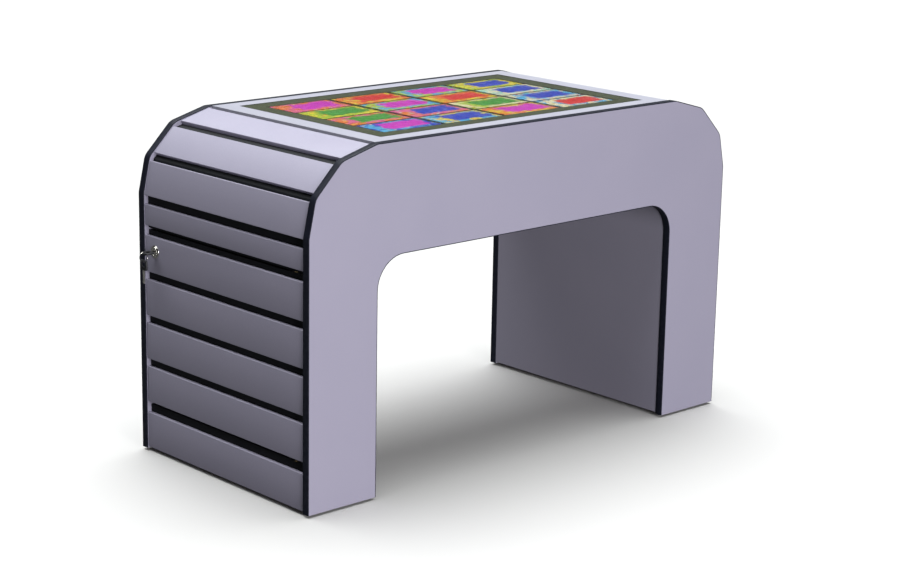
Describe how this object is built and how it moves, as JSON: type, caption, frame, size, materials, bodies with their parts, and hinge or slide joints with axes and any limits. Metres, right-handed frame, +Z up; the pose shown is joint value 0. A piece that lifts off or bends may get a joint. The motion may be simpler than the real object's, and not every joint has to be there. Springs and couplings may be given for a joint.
{
  "type": "touch-screen cocktail game table",
  "caption": "Arch-shaped cocktail game table with a flush glass-covered screen in its top, slatted ends, a lockable slatted service door and faceted shoulders.",
  "frame": {"origin": "centre of the base of the whole bounding box, on the floor, with the key in its lock and the key ring hanging at the left end, so that the table's own middle is 18.95 mm towards +X", "axes": "+X along the table towards the plain slatted end, away from the door; +Y from the front arch panel to the rear one, across the table; +Z up"},
  "size_m": [1.2778, 0.58, 0.75],
  "materials": {
    "lilac_board": "lilac-grey melamine laminate on board, satin",
    "pale_top": "pale lilac-grey laminate, satin",
    "dark_banding": "dark navy ABS edge banding",
    "black_board": "black melamine board",
    "liner": "lilac-grey laminate, satin",
    "raw_wood": "planed softwood",
    "clear_glass": "toughened glass",
    "black_seal": "black silicone",
    "black_mask": "black printed border",
    "screen": "lit display showing a 4 by 4 grid of abstract tiles",
    "steel": "zinc-plated steel",
    "chrome": "nickel plate",
    "brass": "turned brass",
    "black_plastic": "black moulded plastic",
    "foot_plastic": "black plastic glide",
    "cable_jacket": "black cable jacket",
    "rocker_red": "red rocker"
  },
  "bodies": {
    "cabinet": {"front_arch_panel": "lilac_board", "rear_arch_panel": "lilac_board", "front_edge_bands": "dark_banding", "rear_edge_bands": "dark_banding", "top_panel": "pale_top", "left_slat_1": "lilac_board", "left_slat_2": "lilac_board", "left_slat_3": "lilac_board", "left_slat_4": "lilac_board", "left_slat_9": "lilac_board", "left_shoulder_boards": "black_board", "left_corner_liner": "liner", "left_inner_wall": "liner", "left_bottom_plate": "black_board", "right_slat_1": "lilac_board", "right_slat_2": "lilac_board", "right_slat_3": "lilac_board", "right_slat_4": "lilac_board", "right_slat_5": "lilac_board", "right_slat_6": "lilac_board", "right_slat_7": "lilac_board", "right_slat_8": "lilac_board", "right_slat_9": "lilac_board", "right_shoulder_boards": "black_board", "right_corner_liner": "liner", "right_inner_wall": "liner", "right_bottom_plate": "black_board", "door_opening_rails": "black_board", "right_end_board": "black_board", "underside_panel": "liner", "support_battens": "raw_wood", "touch_glass": "clear_glass", "glass_seal": "black_seal", "screen_mask": "black_mask", "display_panel": "screen", "display_housing": "steel", "display_rails": "steel", "cabinet_screws": "steel", "lock_keeper": "steel", "pivot_bushes": "brass", "mini_pc": "black_plastic", "power_strip": "black_plastic", "power_inlet": "black_plastic", "foot_glides": "foot_plastic", "display_cable": "cable_jacket", "mains_cable": "cable_jacket"},
    "door": {"door_board": "black_board", "door_slat_5": "lilac_board", "door_slat_6": "lilac_board", "door_slat_7": "lilac_board", "door_slat_8": "lilac_board", "pivot_plates": "steel", "lock_barrel": "chrome", "lock_nut": "chrome"},
    "lock": {"lock_plug": "chrome", "lock_cam": "steel", "lock_key": "black_plastic"},
    "ring": {"key_ring": "steel"},
    "spare": {"spare_key": "black_plastic"},
    "rocker": {"inlet_rocker": "rocker_red"}
  },
  "joints": [
    {"name": "door_hinge", "type": "hinge", "parent": "cabinet", "child": "door", "pos_m": [-0.58505, -0.235, 0.3], "axis": [0, 0, 1], "range_deg": [0, 110]},
    {"name": "lock_turn", "type": "hinge", "parent": "door", "child": "lock", "pos_m": [-0.60105, 0.236, 0.45643], "axis": [1, 0, 0], "range_deg": [0, 90]},
    {"name": "ring_swing", "type": "hinge", "parent": "lock", "child": "ring", "pos_m": [-0.62765, 0.236, 0.45643], "axis": [0, 1, 0], "range_deg": [-25, 25]},
    {"name": "spare_key_swing", "type": "hinge", "parent": "ring", "child": "spare", "pos_m": [-0.62765, 0.236, 0.43853], "axis": [1, 0, 0], "range_deg": [-45, 45]},
    {"name": "power_rocker", "type": "hinge", "parent": "cabinet", "child": "rocker", "pos_m": [-0.42155, 0.204, 0.07], "axis": [0, 1, 0], "range_deg": [-14, 0]}
  ]
}
